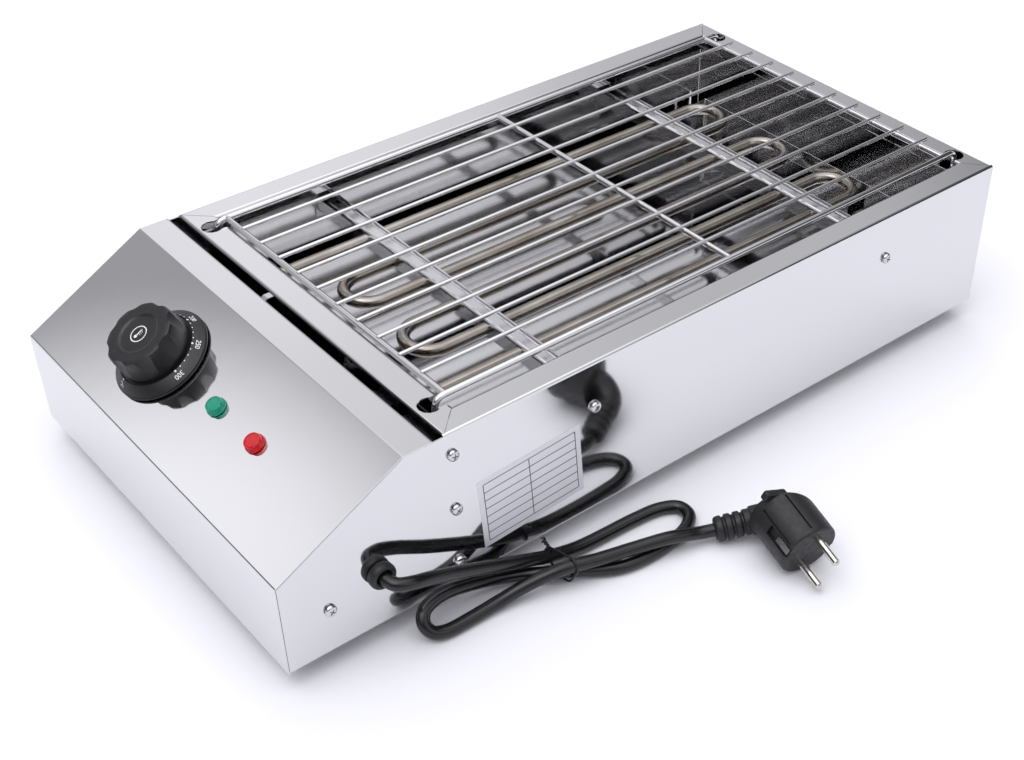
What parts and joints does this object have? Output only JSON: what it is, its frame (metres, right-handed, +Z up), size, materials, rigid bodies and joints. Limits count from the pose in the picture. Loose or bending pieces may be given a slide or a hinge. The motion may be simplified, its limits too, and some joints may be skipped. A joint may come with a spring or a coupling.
{
  "type": "tabletop electric grill",
  "caption": "Open tabletop electric grill: folded steel casing, bent heating tube under a lift-off wire grid, sloping control panel with a dial, and a mains lead.",
  "frame": {"origin": "on the table, under the middle of the casing", "axes": "+X to the right seen from the control panel, +Y to the rear along the casing, +Z up"},
  "size_m": [0.414, 0.545, 0.1281],
  "materials": {
    "casing": "bright, nearly mirror-like folded steel sheet",
    "chrome_wire": "polished",
    "element_tube": "satin, warm grey",
    "bar_steel": "bright",
    "ceramic": "matt white",
    "pin_steel": "plain",
    "knob_plastic": "black, lightly grained",
    "housing_plastic": "pale moulding",
    "screw_steel": "bright",
    "green_lens": "clear green",
    "red_lens": "clear red",
    "black_rubber": "black",
    "cord_sheath": "black, slightly glossy sheath",
    "tie_wire": "black coated wire",
    "plug_rubber": "black, matt",
    "plug_metal": "nickel-plated",
    "foot_rubber": "black, matt"
  },
  "bodies": {
    "casing": {"side_panel_left": "casing", "side_panel_right": "casing", "rear_panel": "casing", "chamber_front_wall": "casing", "control_cover": "casing", "base_plate": "casing", "heating_element": "element_tube", "element_bar_front": "bar_steel", "element_bar_rear": "bar_steel", "element_bush_left": "ceramic", "element_terminal_left": "pin_steel", "element_bush_right": "ceramic", "element_terminal_right": "pin_steel", "thermostat_body": "housing_plastic", "thermostat_screw_lower": "screw_steel", "thermostat_screw_upper": "screw_steel", "lamp_lens_green": "green_lens", "lamp_body_green": "housing_plastic", "lamp_lens_red": "red_lens", "lamp_body_red": "housing_plastic", "vent_clip": "screw_steel", "side_screw_left_1": "screw_steel", "side_screw_left_2": "screw_steel", "side_screw_left_3": "screw_steel", "side_screw_left_4": "screw_steel", "side_screw_left_5": "screw_steel", "side_screw_left_6": "screw_steel", "side_screw_right_1": "screw_steel", "side_screw_right_2": "screw_steel", "side_screw_right_3": "screw_steel", "side_screw_right_4": "screw_steel", "side_screw_right_5": "screw_steel", "side_screw_right_6": "screw_steel", "cord_grommet": "black_rubber", "cord_stop": "knob_plastic", "mains_cord": "cord_sheath", "cord_tie": "tie_wire", "plug_body": "plug_rubber", "plug_pin_lower": "plug_metal", "plug_pin_upper": "plug_metal", "plug_earth_inner": "plug_metal", "plug_earth_outer": "plug_metal", "foot_front_left": "foot_rubber", "foot_front_right": "foot_rubber", "foot_rear_left": "foot_rubber", "foot_rear_right": "foot_rubber"},
    "knob": {"knob": "knob_plastic", "thermostat_shaft": "pin_steel"},
    "grid": {"cooking_grid": "chrome_wire"},
    "tray": {"drip_tray": "casing"}
  },
  "joints": [
    {"name": "knob_turn", "type": "hinge", "parent": "casing", "child": "knob", "pos_m": [-0.042, -0.23225, 0.0973], "axis": [0, -0.4762, 0.8793], "range_deg": [-160, 93]},
    {"name": "grid_lift", "type": "slide", "parent": "casing", "child": "grid", "axis": [0, 0, 1], "range_m": [0, 0.15]},
    {"name": "drip_tray_slide", "type": "slide", "parent": "casing", "child": "tray", "axis": [0, 1, 0], "range_m": [0, 0.43]}
  ]
}
